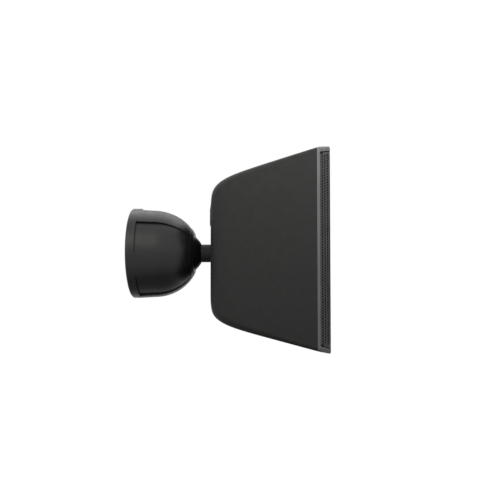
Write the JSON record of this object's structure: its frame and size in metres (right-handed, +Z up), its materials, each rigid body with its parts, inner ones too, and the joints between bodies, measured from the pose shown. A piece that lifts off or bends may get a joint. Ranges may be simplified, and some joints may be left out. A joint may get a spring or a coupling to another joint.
{
  "type": "wall speaker",
  "caption": "Tapered wall speaker with a perforated grille in a grey trim frame, carried by a ball joint in a domed wall bracket.",
  "frame": {"origin": "centre of the wall plate's back face, on the ball joint's axis", "axes": "+X out of the wall toward the grille, +Z up, +Y to the left of the speaker's own front"},
  "size_m": [0.229, 0.1484, 0.23],
  "materials": {
    "zinc": "powder-coated zinc casting",
    "rubber_black": "soft black rubber",
    "bracket_black": "semi-gloss black moulding",
    "nylon_black": "black moulded nylon",
    "nylon_white": "natural nylon",
    "ball_black": "smooth black",
    "neck_black": "black coated steel tube",
    "bare_steel": "zinc plated steel",
    "charcoal_plastic": "fine matte charcoal moulding",
    "baffle_black": "black moulded board",
    "foam_black": "closed foam",
    "frame_grey": "satin mid grey moulding",
    "grille_black": "powder-coated perforated steel",
    "scrim_black": "black acoustic scrim",
    "terminal_green": "green terminal moulding",
    "brass": "plated brass",
    "knob_grey": "grey moulded knob",
    "core_iron": "lacquered iron laminations",
    "copper_wire": "enamelled copper winding",
    "board_green": "green circuit board",
    "felt_grey": "grey damping felt",
    "basket_black": "black pressed basket",
    "ferrite": "dark sintered ferrite",
    "spider_cloth": "resin-dipped cloth",
    "cone_paper": "treated paper cone",
    "dome_silk": "coated silk"
  },
  "bodies": {
    "wall_bracket": {"wall_plate": "zinc", "cable_grommet": "rubber_black", "bracket_cage": "bracket_black", "bracket_dome": "bracket_black", "clamp_cup": "nylon_black", "clamp_screws": "bare_steel", "base_set_screw": "bare_steel"},
    "pan_sleeve": {"ball_sleeve": "nylon_white"},
    "joint_ball": {"ball": "ball_black"},
    "tap_selector": {"tap_knob": "knob_grey"},
    "woofer_diaphragm": {"woofer_cone": "cone_paper", "woofer_dust_cap": "cone_paper", "voice_coil": "copper_wire"},
    "cabinet": {"stem": "neck_black", "stem_ring": "bare_steel", "stem_washer": "bare_steel", "stem_nut": "bare_steel", "cabinet_shell": "charcoal_plastic", "baffle": "baffle_black", "baffle_gasket": "foam_black", "baffle_screws": "bare_steel", "trim_frame": "frame_grey", "grille": "grille_black", "grille_cloth": "scrim_black", "terminal_cover": "charcoal_plastic", "cover_screws": "bare_steel", "terminal_cup": "nylon_black", "terminal_block": "terminal_green", "terminal_screws": "brass", "transformer_core": "core_iron", "transformer_coil": "copper_wire", "crossover_board": "board_green", "crossover_coils": "copper_wire", "crossover_capacitors": "nylon_black", "inner_screws": "bare_steel", "port_tube": "nylon_black", "damping_pad": "felt_grey", "woofer_basket": "basket_black", "woofer_top_plate": "bare_steel", "woofer_magnet": "ferrite", "woofer_yoke": "bare_steel", "woofer_spider": "spider_cloth", "woofer_surround": "rubber_black", "woofer_screws": "bare_steel", "tweeter_plate": "nylon_black", "tweeter_dome": "dome_silk", "tweeter_magnet": "ferrite", "tweeter_screws": "bare_steel"}
  },
  "joints": [
    {"name": "pan", "type": "hinge", "parent": "wall_bracket", "child": "pan_sleeve", "pos_m": [0.05875, 0, 0], "axis": [0, 0, 1], "range_deg": [-20, 20]},
    {"name": "tilt", "type": "hinge", "parent": "pan_sleeve", "child": "joint_ball", "pos_m": [0.05875, 0, 0], "axis": [0, 1, 0], "range_deg": [-20, 20]},
    {"name": "roll", "type": "hinge", "parent": "joint_ball", "child": "cabinet", "pos_m": [0.05875, 0, 0], "axis": [1, 0, 0], "range_deg": [-90, 90]},
    {"name": "tap_select", "type": "hinge", "parent": "cabinet", "child": "tap_selector", "pos_m": [0.1065, -0.012, 0.0445], "axis": [1, 0, 0], "range_deg": [0, 150]},
    {"name": "woofer_travel", "type": "slide", "parent": "cabinet", "child": "woofer_diaphragm", "axis": [1, 0, 0], "range_m": [-0.003, 0.003], "stiffness_N_per_m": 1200}
  ]
}
